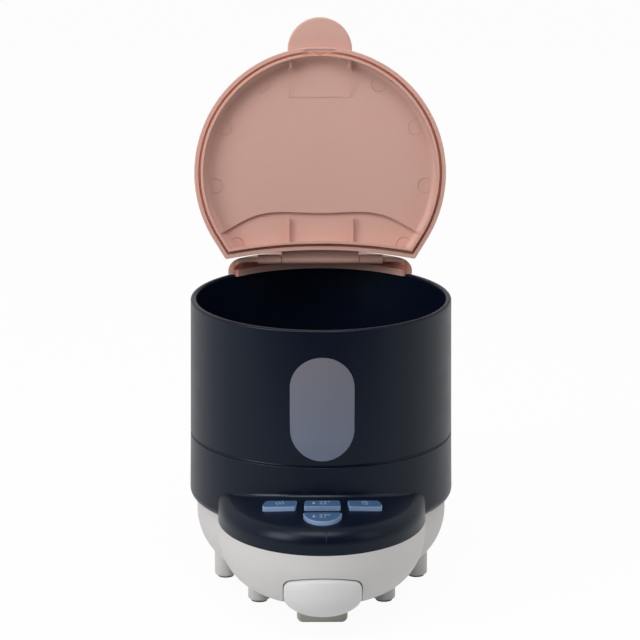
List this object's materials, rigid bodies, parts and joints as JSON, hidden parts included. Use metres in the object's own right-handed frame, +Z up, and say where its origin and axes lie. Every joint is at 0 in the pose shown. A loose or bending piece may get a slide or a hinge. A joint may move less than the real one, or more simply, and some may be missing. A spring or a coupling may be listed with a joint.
{
  "type": "bottle warmer and steriliser",
  "caption": "Countertop bottle warmer: round steam chamber with sight window and split hinged lid, on a bowl base with a key console and a nose-shaped outlet cover.",
  "frame": {"origin": "on the table under the middle of the whole appliance, with its lid standing open; the chamber's axis is 16.5 mm behind it", "axes": "+Z up, -Y towards the console and outlet cover, +X to the right seen from the front"},
  "size_m": [0.1308, 0.1704, 0.2729],
  "materials": {
    "navy_plastic": "satin moulded plastic",
    "frosted_pane": "frosted smoky",
    "grey_silicone": "matt silicone",
    "pale_plastic": "satin moulded plastic",
    "foot_plastic": "matt moulded plastic",
    "cover_plastic": "smooth moulded plastic",
    "key_plastic": "translucent blue",
    "pink_plastic": "satin moulded plastic",
    "pad_rubber": "matt",
    "steel": "brushed",
    "heater_metal": "as drawn",
    "fuse_ceramic": "ceramic-filled",
    "grid_plastic": "moulded",
    "nozzle_plastic": "moulded",
    "tube_silicone": "translucent silicone",
    "board_green": "solder mask",
    "component_black": "moulded",
    "post_plastic": "moulded"
  },
  "bodies": {
    "housing": {"chamber_shell": "navy_plastic", "window_pane": "frosted_pane", "window_seal": "grey_silicone", "lower_housing": "navy_plastic", "base_casing": "pale_plastic", "foot_pads": "pad_rubber", "front_foot": "foot_plastic", "lid_rear": "pink_plastic", "lid_hinge_pin": "steel", "heating_plate": "steel", "plate_seal": "grey_silicone", "heater_element": "heater_metal", "heater_strap": "steel", "strap_screws": "steel", "thermostat": "heater_metal", "thermal_fuse": "fuse_ceramic", "spout_nozzle": "nozzle_plastic", "drain_tube": "tube_silicone", "key_board": "board_green", "key_switches": "component_black", "main_board": "board_green", "board_components": "component_black", "board_posts": "post_plastic", "board_screws": "steel", "bottom_cover": "pale_plastic", "cover_screws": "steel", "cable_gland": "pale_plastic"},
    "lid": {"lid_front": "pink_plastic"},
    "left_key": {"button_left": "key_plastic"},
    "centre_key": {"button_centre": "key_plastic"},
    "right_key": {"button_right": "key_plastic"},
    "start_key": {"button_start": "key_plastic"},
    "nose_cover": {"spout_cover": "cover_plastic"},
    "grid": {"steam_grid": "grid_plastic"}
  },
  "joints": [
    {"name": "lid_hinge", "type": "hinge", "parent": "housing", "child": "lid", "pos_m": [0, 0.0601, 0.15335], "axis": [1, 0, 0], "range_deg": [0, 102]},
    {"name": "left_key_press", "type": "slide", "parent": "housing", "child": "left_key", "axis": [0, 0, -1], "range_m": [0, 0.0008], "stiffness_N_per_m": 400, "springref_m": -0.0005},
    {"name": "centre_key_press", "type": "slide", "parent": "housing", "child": "centre_key", "axis": [0, 0, -1], "range_m": [0, 0.0008], "stiffness_N_per_m": 400, "springref_m": -0.0005},
    {"name": "right_key_press", "type": "slide", "parent": "housing", "child": "right_key", "axis": [0, 0, -1], "range_m": [0, 0.0008], "stiffness_N_per_m": 400, "springref_m": -0.0005},
    {"name": "start_key_press", "type": "slide", "parent": "housing", "child": "start_key", "axis": [0, 0, -1], "range_m": [0, 0.0008], "stiffness_N_per_m": 400, "springref_m": -0.0005},
    {"name": "nose_cover_pull", "type": "slide", "parent": "housing", "child": "nose_cover", "axis": [0, -1, 0], "range_m": [0, 0.025]},
    {"name": "grid_lift", "type": "slide", "parent": "housing", "child": "grid", "axis": [0, 0, 1], "range_m": [0, 0.066]}
  ]
}
